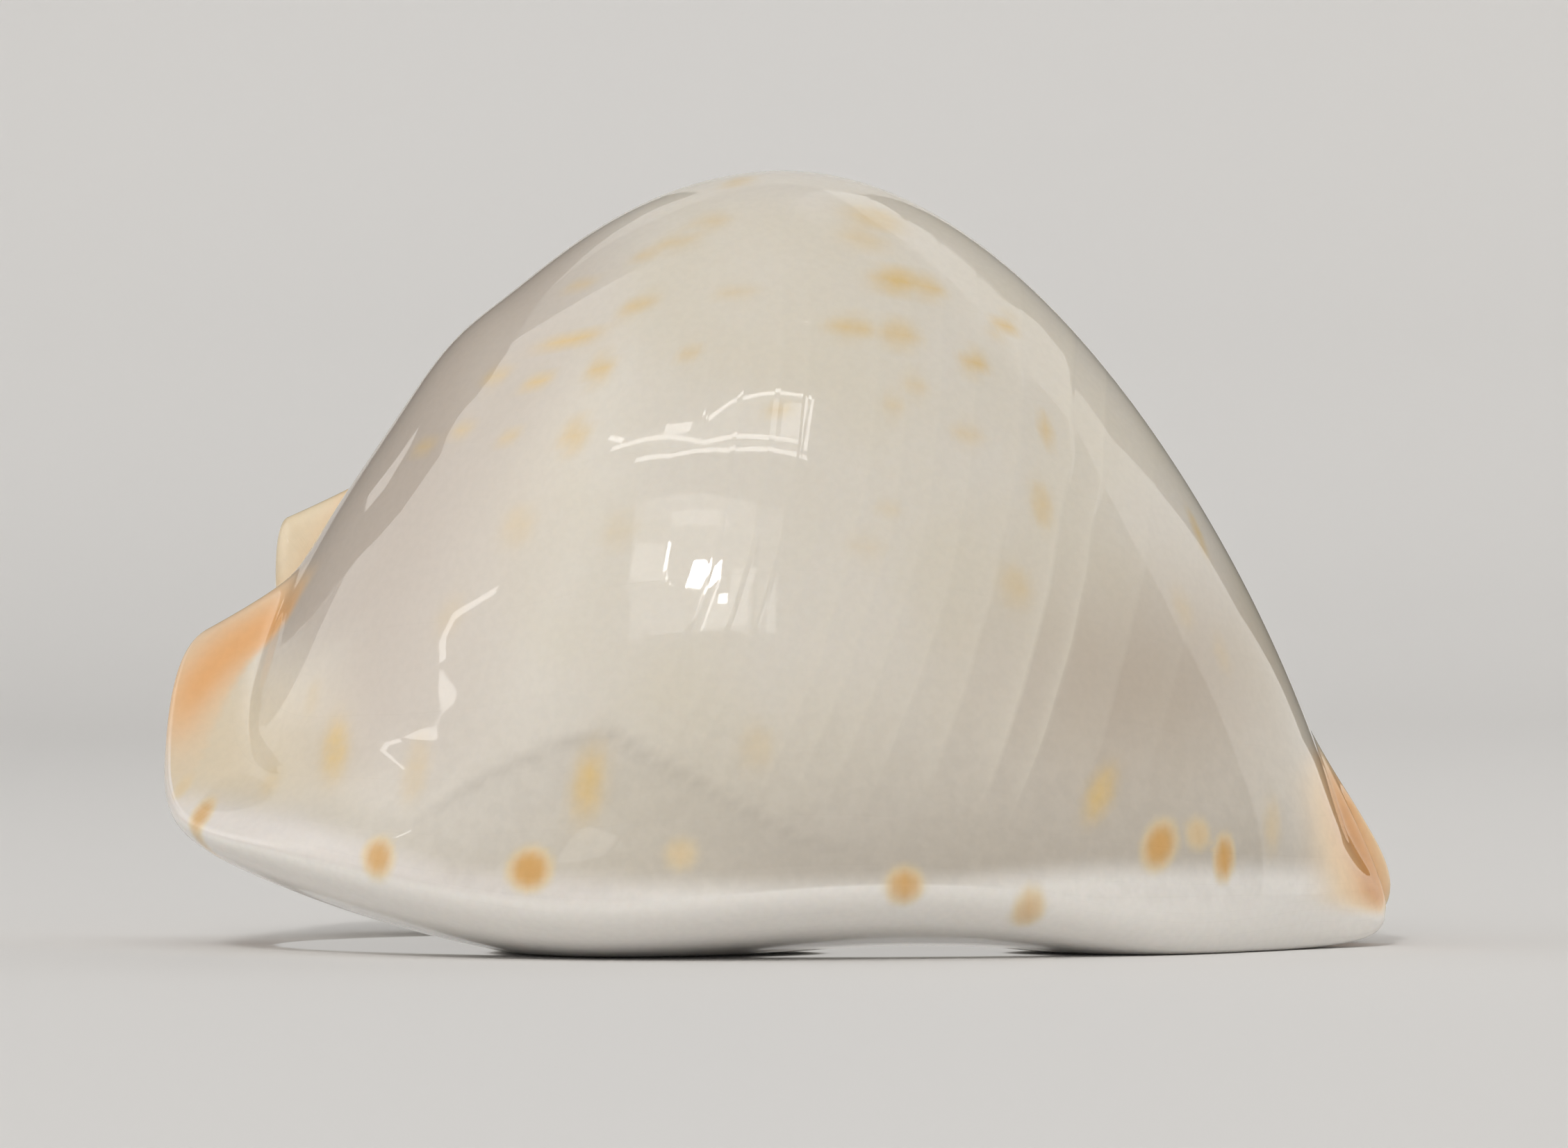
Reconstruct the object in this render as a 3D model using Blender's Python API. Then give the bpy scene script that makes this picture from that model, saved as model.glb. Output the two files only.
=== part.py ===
"""Cowrie shell: one hollow solid, grown as one piece, resting on its flat underside.

Metres, +Z up, with the origin under the middle of its bounding box, on the surface it rests
on. The front end (front canal) points to +X, the outer lip is on the -Y side, and the toothed
slit runs along the underside from one end to the other.
"""
import math

import bmesh
import bpy
import numpy as np

LENGTH = 0.060  # end to end; every other size below is a share of it

# The shell's rim, station by station: from the front canal along the outer lip's side to the
# rear canal, and back along the inner side. Each row holds the widest point of the margin
# (x y z), how thin its edge is (0 a thick round brim, 1 a thin flange), and the point on the
# edge of the slit that it runs in to (x y z).
STATIONS = (
    (0.953, 0.004, 0.132, 0.8, 0.928, 0.004, 0.108),
    (0.984, -0.028, 0.048, 0.7, 0.962, -0.014, 0.045),
    (0.930, -0.105, 0.042, 0.1, 0.905, -0.030, 0.025),
    (0.822, -0.215, 0.036, 0.0, 0.800, -0.042, 0.018),
    (0.675, -0.302, 0.057, 0.0, 0.660, -0.047, 0.034),
    (0.510, -0.345, 0.059, 0.0, 0.510, -0.047, 0.034),
    (0.345, -0.337, 0.048, 0.0, 0.370, -0.042, 0.024),
    (0.202, -0.292, 0.067, 0.2, 0.240, -0.033, 0.034),
    (0.096, -0.232, 0.091, 0.5, 0.130, -0.024, 0.056),
    (0.022, -0.162, 0.112, 0.8, 0.056, -0.018, 0.094),
    (0.005, -0.088, 0.174, 1.0, 0.034, -0.014, 0.150),
    (0.024, -0.030, 0.254, 1.0, 0.052, 0.000, 0.213),
    (0.082, 0.010, 0.257, 1.0, 0.102, 0.018, 0.238),
    (0.124, 0.032, 0.264, 1.0, 0.140, 0.034, 0.242),
    (0.114, 0.062, 0.312, 1.0, 0.122, 0.048, 0.250),
    (0.088, 0.096, 0.350, 1.0, 0.098, 0.058, 0.211),
    (0.115, 0.140, 0.300, 0.8, 0.086, 0.058, 0.156),
    (0.073, 0.184, 0.204, 0.6, 0.075, 0.052, 0.104),
    (0.090, 0.225, 0.118, 0.4, 0.118, 0.038, 0.064),
    (0.165, 0.270, 0.072, 0.2, 0.205, 0.020, 0.042),
    (0.270, 0.315, 0.056, 0.0, 0.310, 0.002, 0.031),
    (0.400, 0.340, 0.050, 0.0, 0.420, -0.008, 0.026),
    (0.545, 0.340, 0.049, 0.0, 0.540, -0.011, 0.028),
    (0.685, 0.300, 0.047, 0.0, 0.660, -0.010, 0.028),
    (0.810, 0.225, 0.042, 0.0, 0.780, -0.002, 0.023),
    (0.915, 0.130, 0.036, 0.1, 0.890, 0.008, 0.020),
    (0.985, 0.050, 0.052, 0.5, 0.958, 0.016, 0.042),
    (0.976, 0.026, 0.100, 0.8, 0.948, 0.014, 0.087),
)

# The humped body over the margin: its peak, the height where it meets the margin, and its
# radius about the peak every 30 degrees, from the front round by the outer lip's side.
PEAK = np.array((0.4985, 0.000, 0.633))
FOOT = 0.045
BODY = (0.465, 0.394, 0.341, 0.334, 0.362, 0.424, 0.495, 0.424, 0.362, 0.334, 0.341, 0.394)
DRAW = 0.2  # how much the hump is drawn in below its peak
END_SWELL = 1.4  # exponent of the hump's slope at both ends
SIDE_SWELL = 0.6  # added to it at the sides, which stand steeper
SHOULDER = (0.010, 0.225, 0.040, 0.120)  # the swelling over the rear canal: height, x, spreads
SHOULDER_CLEAR = 0.1  # height over the margin where it is at its full size

# How the margin flares from the body, and how it rolls under to the slit
BRIM_REACH, FLANGE_REACH = 0.055, 0.040
CREASE = 0.25  # softness of the valley between a flange and the hump
BRIM_HOLD, FLANGE_HOLD = 0.065, 0.022
LIP_HOLD = 0.8
HEART = np.array((0.500, 0.010, 0.350))  # the lip's inner face is drawn towards this point

WORN = 0.003  # softness of the edge of the flat places that it rests on

# The hollow inside
ROOF = 0.038  # wall under the peak
WALL = 0.045  # wall at the sides
FLOOR = 0.125  # height where the hollow is widest
FLANGE_CLEAR = 0.022  # how far over a high margin the hollow starts instead
THROAT_HOLD, FLOOR_HOLD = 0.04, 0.05  # how straight the slit runs in, and the hollow up

# The teeth: ridges across both edges of the slit
TEETH_PER_STATION = 3
TOOTH_HEIGHT = 0.011
TOOTH_START, TOOTH_FULL = 0.76, 0.95  # share of the way from margin to slit where they rise
TOOTH_END = 0.5  # share of the way from slit to floor where they end
TOOTHED = ((1.5, 9.2), (17.8, 25.3))  # stations between which each edge is toothed
TOOTH_FADE = 0.8  # stations over which they grow to full height

COLUMNS_PER_STATION = 6
DORSAL, UNDER, ROLLED, INNER = 12, 8, 4, 7  # rings on each stretch of the surface
MARGIN_CROWDING = 1.35  # how much closer the rings on the back lie near the margin
EDGE_CROWDING = 0.09  # and those of the underside near the margin and the slit


def round_spline(values, places):
    """A closed smooth curve through values at 0, 1, 2 ..., read at places."""
    values = np.asarray(values, float)
    count = len(values)
    identity = np.eye(count)
    beside = np.roll(identity, 1, axis=1) + np.roll(identity, -1, axis=1)
    bend = np.roll(values, -1, axis=0) - 2 * values + np.roll(values, 1, axis=0)
    bends = np.linalg.solve(4 * identity + beside, 6 * bend)
    low = np.floor(places).astype(int) % count
    high = (low + 1) % count
    after = (places - np.floor(places))[:, None]
    before = 1 - after
    curve = (before**3 - before) * bends[low] + (after**3 - after) * bends[high]
    return before * values[low] + after * values[high] + curve / 6


def bezier(start, leave, arrive, end, shares):
    """Points at shares of the way along a curve from start to end, for every column."""
    t = shares[:, None, None]
    s = 1 - t
    return s**3 * start + 3 * s**2 * t * leave + 3 * s * t**2 * arrive + t**3 * end


def unit(vectors):
    return vectors / np.linalg.norm(vectors, axis=-1, keepdims=True)


def blend(thick, thin, share):
    return thick + (thin - thick) * share


def fade(place, start, full):
    """0 up to start, 1 from full on, smooth between."""
    share = np.clip((place - start) / (full - start), 0, 1)
    return share * share * (3 - 2 * share)


def hump(shares, radius, swell, start, top, way):
    """Rings of a dome from its top (share 0) down to the height start (share 1)."""
    drop = 1 - ((start - FOOT) / (top - FOOT)).clip(0, 1) ** swell
    widest = radius * np.sqrt(drop / (1 + DRAW - DRAW * drop))
    out = shares[:, None] * widest
    near = (out / radius) ** 2
    drop = ((1 + DRAW) * near / (1 + DRAW * near)).clip(0, 1)
    rings = np.empty((len(shares), len(radius), 3))
    rings[..., :2] = PEAK[:2] + way * out[..., None]
    rings[..., 2] = FOOT + (top - FOOT) * (1 - drop) ** (1 / swell)
    return rings, widest


def tooth_ridges(station):
    """How far each column stands out as a tooth, 0 to 1, at the edge of the slit."""
    ridge = 0.5 + 0.5 * np.cos(2 * math.pi * TEETH_PER_STATION * station)
    grown = np.zeros_like(station)
    for first, last in TOOTHED:
        grown += fade(station, first, first + TOOTH_FADE) * fade(-station, -last, TOOTH_FADE - last)
    return ridge * grown


def raise_teeth(rings, first, heights, tooth):
    """Move the rings that cross the slit's edge out along their normals."""
    last = first + len(heights)
    band = rings[first - 1:last + 1]
    around = np.roll(band, -1, axis=1) - np.roll(band, 1, axis=1)
    along = np.gradient(band, axis=0)
    normal = unit(np.cross(around, along))[1:-1]
    lift = TOOTH_HEIGHT * heights[:, None] * tooth
    rings[first:last] += normal * lift[..., None]


def settle(height):
    """Flatten what would sink below the surface that the shell rests on, with a soft edge."""
    low = (height.clip(-WORN) + WORN) ** 2 / (4 * WORN)
    return np.where(height > WORN, height, low)


def shell_rings(columns, dorsal, under, rolled, inner):
    """The whole surface, in rings from the peak over the margin and the slit's edge to the
    inside of the peak. The first and the last ring are single points."""
    station = np.arange(columns) * len(STATIONS) / columns
    rows = round_spline(STATIONS, station)
    margin, thin, lip = rows[:, :3], rows[:, 3].clip(0, 1), rows[:, 4:]
    out = margin[:, :2] - PEAK[:2]
    span = np.linalg.norm(out, axis=1)
    way = out / span[:, None]
    turned = np.degrees(np.arctan2(-way[:, 1], way[:, 0])) % 360
    places = turned * len(BODY) / 360
    body = round_spline(np.array(BODY)[:, None], places)[:, 0]
    swell = END_SWELL + SIDE_SWELL * way[:, 1] ** 2

    # The back: the hump, and the margin flaring out of it
    shares = np.linspace(0, 1, dorsal)
    shares = np.sin(math.pi / 2 * (1 - (1 - shares) ** MARGIN_CROWDING))
    back, widest = hump(shares, body, swell, margin[:, 2], PEAK[2], way)
    over = (back[..., 2] - margin[:, 2]).clip(0)
    ramp = 1 - over / FLANGE_REACH
    ramp = (ramp + np.hypot(ramp, CREASE)) / (1 + math.hypot(1, CREASE))
    flare = (span - widest) * blend(np.exp(-((over / BRIM_REACH) ** 2)), ramp, thin)
    back[..., :2] += way * (flare * shares[:, None] ** 2)[..., None]
    height, place, spread, breadth = SHOULDER
    swelling = np.exp(-(((back[..., 0] - place) / spread) ** 2) - (back[..., 1] / breadth) ** 2)
    clear = (back[..., 2] - margin[:, 2]) / SHOULDER_CLEAR
    back[..., 2] += height * swelling * clear.clip(0, 1)

    # The underside: from the margin, rolled under and into the slit
    leaving = unit(back[-1] - back[-2])
    inward = unit(HEART - lip)
    hold = blend(BRIM_HOLD, FLANGE_HOLD, thin)[:, None]
    shares = np.linspace(0, 1, under + 1)[1:]
    shares = shares - EDGE_CROWDING * np.sin(2 * math.pi * shares)
    arrive = lip - LIP_HOLD * hold * inward
    base = bezier(margin, margin + hold * leaving, arrive, lip, shares)
    heights = [fade(shares, TOOTH_START, TOOTH_FULL)]

    # The inside: over the floor of the hollow and up under the hump
    start = np.maximum(FLOOR, margin[:, 2] + FLANGE_CLEAR)
    shares = np.sin(math.pi / 2 * np.linspace(1, 0, inner))
    hollow, _ = hump(shares, body - WALL, swell, start, PEAK[2] - ROOF, way)
    shares = np.linspace(0, 1, rolled + 1)[1:-1]
    edge = hollow[0]
    up = np.array((0, 0, FLOOR_HOLD))
    floor = bezier(lip, lip + THROAT_HOLD * inward, edge - up, edge, shares)
    heights.append(1 - fade(shares, 0, TOOTH_END))

    rings = np.concatenate([back, base, floor, hollow])
    raise_teeth(rings, dorsal, np.concatenate(heights), tooth_ridges(station))
    rings[..., 2] = settle(rings[..., 2])
    return rings * LENGTH


def resting_centre(rings):
    """The middle of the shell's bounding box, at the height that it rests on."""
    points = rings.reshape(-1, 3)
    low, high = points.min(axis=0), points.max(axis=0)
    return np.array((*(low + high)[:2] / 2, low[2]))


def shell_mesh():
    """A sphere, each of whose points is moved to its place on the shell."""
    columns = COLUMNS_PER_STATION * len(STATIONS)
    rings = shell_rings(columns, DORSAL, UNDER, ROLLED, INNER)
    rings -= resting_centre(rings)
    bands = len(rings) - 1
    ball = bmesh.new()
    bmesh.ops.create_uvsphere(ball, u_segments=columns, v_segments=bands, radius=1)
    for vert in ball.verts:
        ring = round(math.acos(max(-1, min(1, vert.co.z))) / math.pi * bands)
        turn = math.atan2(-vert.co.y, vert.co.x) / (2 * math.pi)
        column = round(turn * columns) % columns
        vert.co = rings[ring, column]
    mesh = bpy.data.meshes.new("shell")
    bmesh.ops.triangulate(ball, faces=ball.faces)
    bmesh.ops.recalc_face_normals(ball, faces=ball.faces)
    ball.to_mesh(mesh)
    ball.free()
    mesh.shade_smooth()
    return mesh


def glazed_white():
    material = bpy.data.materials.new("glazed shell")
    material.use_nodes = True
    surface = material.node_tree.nodes["Principled BSDF"]
    surface.inputs["Base Color"].default_value = (0.74, 0.68, 0.60, 1)
    surface.inputs["Roughness"].default_value = 0.12
    surface.inputs["Metallic"].default_value = 0.0
    return material


for old in list(bpy.data.objects):
    bpy.data.objects.remove(old)
cowrie = bpy.data.collections.new("cowrie shell")
bpy.context.scene.collection.children.link(cowrie)
shell = bpy.data.objects.new("shell", shell_mesh())
shell.data.materials.append(glazed_white())
cowrie.objects.link(shell)
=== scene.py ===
import math
from functools import partial

import bpy
import numpy as np
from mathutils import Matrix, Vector


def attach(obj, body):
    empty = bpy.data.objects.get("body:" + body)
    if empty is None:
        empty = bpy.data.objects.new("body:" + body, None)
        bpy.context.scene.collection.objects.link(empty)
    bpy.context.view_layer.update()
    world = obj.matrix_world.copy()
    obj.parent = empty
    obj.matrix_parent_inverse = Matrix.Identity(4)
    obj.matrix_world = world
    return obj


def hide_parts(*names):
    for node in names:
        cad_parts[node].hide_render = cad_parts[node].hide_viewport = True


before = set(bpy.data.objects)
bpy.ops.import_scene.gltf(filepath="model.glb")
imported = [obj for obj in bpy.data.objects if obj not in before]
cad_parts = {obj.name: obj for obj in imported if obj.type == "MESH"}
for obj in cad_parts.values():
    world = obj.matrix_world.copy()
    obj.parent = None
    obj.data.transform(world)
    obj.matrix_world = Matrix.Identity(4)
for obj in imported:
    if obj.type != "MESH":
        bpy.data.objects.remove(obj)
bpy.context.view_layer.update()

# ---------------------------------------------------------------------------- the camera
# A long lens on a tripod, square to the outer lip's side of the shell and level with the
# middle of it. It stands seven shell lengths away, so that the far side hardly shrinks.
EYE = Vector((0.00003, -0.4200, 0.01817))
LENS, SENSOR = 196.4, 36.0  # millimetres
NEAREST, FARTHEST = 0.01, 20  # what it sees lies between


def placed(name, data):
    """A new object in the scene."""
    made = bpy.data.objects.new(name, data)
    bpy.context.scene.collection.objects.link(made)
    return made


camera = placed("camera", bpy.data.cameras.new("camera"))
camera.location = EYE
camera.rotation_euler = (math.pi / 2, 0, 0)
camera.data.lens = LENS
camera.data.sensor_width = SENSOR
camera.data.clip_start, camera.data.clip_end = NEAREST, FARTHEST
bpy.context.scene.camera = camera

# ---------------------------------------------------------------------------- the shell
# One hollow shell of glossy white enamel over a chalky body, laid down by the living animal
# as one piece: a tall hump, a thick white brim that it rests on, two rolled lobes round the
# rear canal, a pinched front canal, and a toothed slit along the underside.
LENGTH = 0.060  # end to end; every other size below is a share of it

# The shell's rim, station by station: from the front canal along the outer lip's side to the
# rear canal, and back along the inner side. Each row holds the widest point of the margin
# (x y z), how thin its edge is (0 a thick round brim, 1 a thin flange), and the point on the
# edge of the slit that it runs in to (x y z).
STATIONS = (
    (0.953, 0.004, 0.132, 0.8, 0.928, 0.004, 0.108),
    (0.984, -0.028, 0.048, 0.7, 0.962, -0.014, 0.045),
    (0.930, -0.105, 0.042, 0.1, 0.905, -0.030, 0.025),
    (0.822, -0.215, 0.036, 0.0, 0.800, -0.042, 0.018),
    (0.675, -0.302, 0.057, 0.0, 0.660, -0.047, 0.034),
    (0.510, -0.345, 0.059, 0.0, 0.510, -0.047, 0.034),
    (0.345, -0.337, 0.048, 0.0, 0.370, -0.042, 0.024),
    (0.202, -0.292, 0.067, 0.2, 0.240, -0.033, 0.034),
    (0.096, -0.232, 0.091, 0.5, 0.130, -0.024, 0.056),
    (0.022, -0.162, 0.112, 0.8, 0.056, -0.018, 0.094),
    (0.005, -0.088, 0.174, 1.0, 0.034, -0.014, 0.150),
    (0.024, -0.030, 0.254, 1.0, 0.052, 0.000, 0.213),
    (0.082, 0.010, 0.257, 1.0, 0.102, 0.018, 0.238),
    (0.124, 0.032, 0.264, 1.0, 0.140, 0.034, 0.242),
    (0.114, 0.062, 0.312, 1.0, 0.122, 0.048, 0.250),
    (0.088, 0.096, 0.350, 1.0, 0.098, 0.058, 0.211),
    (0.115, 0.140, 0.300, 0.8, 0.086, 0.058, 0.156),
    (0.073, 0.184, 0.204, 0.6, 0.075, 0.052, 0.104),
    (0.090, 0.225, 0.118, 0.4, 0.118, 0.038, 0.064),
    (0.165, 0.270, 0.072, 0.2, 0.205, 0.020, 0.042),
    (0.270, 0.315, 0.056, 0.0, 0.310, 0.002, 0.031),
    (0.400, 0.340, 0.050, 0.0, 0.420, -0.008, 0.026),
    (0.545, 0.340, 0.049, 0.0, 0.540, -0.011, 0.028),
    (0.685, 0.300, 0.047, 0.0, 0.660, -0.010, 0.028),
    (0.810, 0.225, 0.042, 0.0, 0.780, -0.002, 0.023),
    (0.915, 0.130, 0.036, 0.1, 0.890, 0.008, 0.020),
    (0.985, 0.050, 0.052, 0.5, 0.958, 0.016, 0.042),
    (0.976, 0.026, 0.100, 0.8, 0.948, 0.014, 0.087),
)

# The humped body over the margin: its peak, the height where it meets the margin, and its
# radius about the peak every 30 degrees, from the front round by the outer lip's side.
PEAK = np.array((0.4985, 0.000, 0.633))
FOOT = 0.045
BODY = (0.465, 0.394, 0.341, 0.334, 0.362, 0.424, 0.495, 0.424, 0.362, 0.334, 0.341, 0.394)
DRAW = 0.2  # how much the hump is drawn in below its peak
END_SWELL = 1.4  # exponent of the hump's slope at both ends
SIDE_SWELL = 0.6  # added to it at the sides, which stand steeper
SHOULDER = (0.010, 0.225, 0.040, 0.120)  # the swelling over the rear canal: height, x, spreads
SHOULDER_CLEAR = 0.1  # height over the margin where it is at its full size

# How the margin flares from the body, and how it rolls under to the slit
BRIM_REACH, FLANGE_REACH = 0.055, 0.040
CREASE = 0.25  # softness of the valley between a flange and the hump
BRIM_HOLD, FLANGE_HOLD = 0.065, 0.022
LIP_HOLD = 0.8
HEART = np.array((0.500, 0.010, 0.350))  # the lip's inner face is drawn towards this point

WORN = 0.003  # softness of the edge of the flat places that it rests on

# The hollow inside
ROOF = 0.038  # wall under the peak
WALL = 0.045  # wall at the sides
FLOOR = 0.125  # height where the hollow is widest
FLANGE_CLEAR = 0.022  # how far over a high margin the hollow starts instead
THROAT_HOLD, FLOOR_HOLD = 0.04, 0.05  # how straight the slit runs in, and the hollow up

# The teeth: ridges across both edges of the slit
TEETH_PER_STATION = 3
TOOTH_HEIGHT = 0.011
TOOTH_START, TOOTH_FULL = 0.76, 0.95  # share of the way from margin to slit where they rise
TOOTH_END = 0.5  # share of the way from slit to floor where they end
TOOTHED = ((1.5, 9.2), (17.8, 25.3))  # stations between which each edge is toothed
TOOTH_FADE = 0.8  # stations over which they grow to full height

MARGIN_CROWDING = 1.35  # how much closer the rings on the back lie near the margin
EDGE_CROWDING = 0.09  # and those of the underside near the margin and the slit
COARSE = (6, 12, 8, 4, 7)  # columns a station, and rings on each stretch, of the plain solid
FINE = (20, 76, 42, 18, 20)  # and of this finished shell


def round_spline(values, places):
    """A closed smooth curve through values at 0, 1, 2 ..., read at places."""
    values = np.asarray(values, float)
    count = len(values)
    identity = np.eye(count)
    beside = np.roll(identity, 1, axis=1) + np.roll(identity, -1, axis=1)
    bend = np.roll(values, -1, axis=0) - 2 * values + np.roll(values, 1, axis=0)
    bends = np.linalg.solve(4 * identity + beside, 6 * bend)
    low = np.floor(places).astype(int) % count
    high = (low + 1) % count
    after = (places - np.floor(places))[:, None]
    before = 1 - after
    curve = (before**3 - before) * bends[low] + (after**3 - after) * bends[high]
    return before * values[low] + after * values[high] + curve / 6


def bezier(start, leave, arrive, end, shares):
    """Points at shares of the way along a curve from start to end, for every column."""
    t = shares[:, None, None]
    s = 1 - t
    return s**3 * start + 3 * s**2 * t * leave + 3 * s * t**2 * arrive + t**3 * end


def unit(vectors):
    return vectors / np.linalg.norm(vectors, axis=-1, keepdims=True)


def blend(thick, thin, share):
    return thick + (thin - thick) * share


def fade(place, start, full):
    """0 up to start, 1 from full on, smooth between."""
    share = np.clip((place - start) / (full - start), 0, 1)
    return share * share * (3 - 2 * share)


def hump(shares, radius, swell, start, top, way):
    """Rings of a dome from its top (share 0) down to the height start (share 1)."""
    drop = 1 - ((start - FOOT) / (top - FOOT)).clip(0, 1) ** swell
    widest = radius * np.sqrt(drop / (1 + DRAW - DRAW * drop))
    out = shares[:, None] * widest
    near = (out / radius) ** 2
    drop = ((1 + DRAW) * near / (1 + DRAW * near)).clip(0, 1)
    rings = np.empty((len(shares), len(radius), 3))
    rings[..., :2] = PEAK[:2] + way * out[..., None]
    rings[..., 2] = FOOT + (top - FOOT) * (1 - drop) ** (1 / swell)
    return rings, widest


def tooth_ridges(station):
    """How far each column stands out as a tooth, 0 to 1, at the edge of the slit."""
    ridge = 0.5 + 0.5 * np.cos(2 * math.pi * TEETH_PER_STATION * station)
    grown = np.zeros_like(station)
    for first, last in TOOTHED:
        grown += fade(station, first, first + TOOTH_FADE) * fade(-station, -last, TOOTH_FADE - last)
    return ridge * grown


def raise_teeth(rings, first, heights, tooth):
    """Move the rings that cross the slit's edge out along their normals."""
    last = first + len(heights)
    band = rings[first - 1:last + 1]
    around = np.roll(band, -1, axis=1) - np.roll(band, 1, axis=1)
    along = np.gradient(band, axis=0)
    normal = unit(np.cross(around, along))[1:-1]
    lift = TOOTH_HEIGHT * heights[:, None] * tooth
    rings[first:last] += normal * lift[..., None]


def settle(height):
    """Flatten what would sink below the surface that the shell rests on, with a soft edge."""
    low = (height.clip(-WORN) + WORN) ** 2 / (4 * WORN)
    return np.where(height > WORN, height, low)


def shell_rings(per_station, dorsal, under, rolled, inner):
    """The whole surface, in rings from the peak over the margin and the slit's edge to the
    inside of the peak. The first and the last ring are single points."""
    columns = per_station * len(STATIONS)
    station = np.arange(columns) * len(STATIONS) / columns
    rows = round_spline(STATIONS, station)
    margin, thin, lip = rows[:, :3], rows[:, 3].clip(0, 1), rows[:, 4:]
    out = margin[:, :2] - PEAK[:2]
    span = np.linalg.norm(out, axis=1)
    way = out / span[:, None]
    turned = np.degrees(np.arctan2(-way[:, 1], way[:, 0])) % 360
    places = turned * len(BODY) / 360
    body = round_spline(np.array(BODY)[:, None], places)[:, 0]
    swell = END_SWELL + SIDE_SWELL * way[:, 1] ** 2

    # The back: the hump, and the margin flaring out of it
    shares = np.linspace(0, 1, dorsal)
    shares = np.sin(math.pi / 2 * (1 - (1 - shares) ** MARGIN_CROWDING))
    back, widest = hump(shares, body, swell, margin[:, 2], PEAK[2], way)
    over = (back[..., 2] - margin[:, 2]).clip(0)
    ramp = 1 - over / FLANGE_REACH
    ramp = (ramp + np.hypot(ramp, CREASE)) / (1 + math.hypot(1, CREASE))
    flare = (span - widest) * blend(np.exp(-((over / BRIM_REACH) ** 2)), ramp, thin)
    back[..., :2] += way * (flare * shares[:, None] ** 2)[..., None]
    height, place, spread, breadth = SHOULDER
    swelling = np.exp(-(((back[..., 0] - place) / spread) ** 2) - (back[..., 1] / breadth) ** 2)
    clear = (back[..., 2] - margin[:, 2]) / SHOULDER_CLEAR
    back[..., 2] += height * swelling * clear.clip(0, 1)

    # The underside: from the margin, rolled under and into the slit
    leaving = unit(back[-1] - back[-2])
    inward = unit(HEART - lip)
    hold = blend(BRIM_HOLD, FLANGE_HOLD, thin)[:, None]
    shares = np.linspace(0, 1, under + 1)[1:]
    shares = shares - EDGE_CROWDING * np.sin(2 * math.pi * shares)
    arrive = lip - LIP_HOLD * hold * inward
    base = bezier(margin, margin + hold * leaving, arrive, lip, shares)
    heights = [fade(shares, TOOTH_START, TOOTH_FULL)]

    # The inside: over the floor of the hollow and up under the hump
    start = np.maximum(FLOOR, margin[:, 2] + FLANGE_CLEAR)
    shares = np.sin(math.pi / 2 * np.linspace(1, 0, inner))
    hollow, _ = hump(shares, body - WALL, swell, start, PEAK[2] - ROOF, way)
    shares = np.linspace(0, 1, rolled + 1)[1:-1]
    edge = hollow[0]
    up = np.array((0, 0, FLOOR_HOLD))
    floor = bezier(lip, lip + THROAT_HOLD * inward, edge - up, edge, shares)
    heights.append(1 - fade(shares, 0, TOOTH_END))

    rings = np.concatenate([back, base, floor, hollow])
    raise_teeth(rings, dorsal, np.concatenate(heights), tooth_ridges(station))
    rings[..., 2] = settle(rings[..., 2])
    return rings * LENGTH


def resting_centre(rings):
    """The middle of the shell's bounding box, at the height that it rests on."""
    points = rings.reshape(-1, 3)
    low, high = points.min(axis=0), points.max(axis=0)
    return np.array((*(low + high)[:2] / 2, low[2]))


def shell_mesh(rings):
    """Four-sided faces between the rings, closed by a fan of triangles at each end."""
    count, columns = rings.shape[:2]
    points = np.concatenate([rings[:1, 0], rings[1:-1].reshape(-1, 3), rings[-1:, 0]])
    here = 1 + np.arange((count - 2) * columns).reshape(count - 2, columns)
    after = np.roll(here, -1, axis=1)
    quads = np.stack([here[:-1], after[:-1], after[1:], here[1:]], axis=-1).reshape(-1, 4)
    first = [(0, b, a) for a, b in zip(here[0], after[0])]
    final = [(len(points) - 1, a, b) for a, b in zip(here[-1], after[-1])]
    mesh = bpy.data.meshes.new("cowrie_shell")
    mesh.from_pydata(points.tolist(), [], first + quads.tolist() + final)
    mesh.shade_smooth()
    return mesh


centre = resting_centre(shell_rings(*COARSE))
rings = shell_rings(*FINE) - centre
shell = placed("cowrie_shell", shell_mesh(rings))

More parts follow.
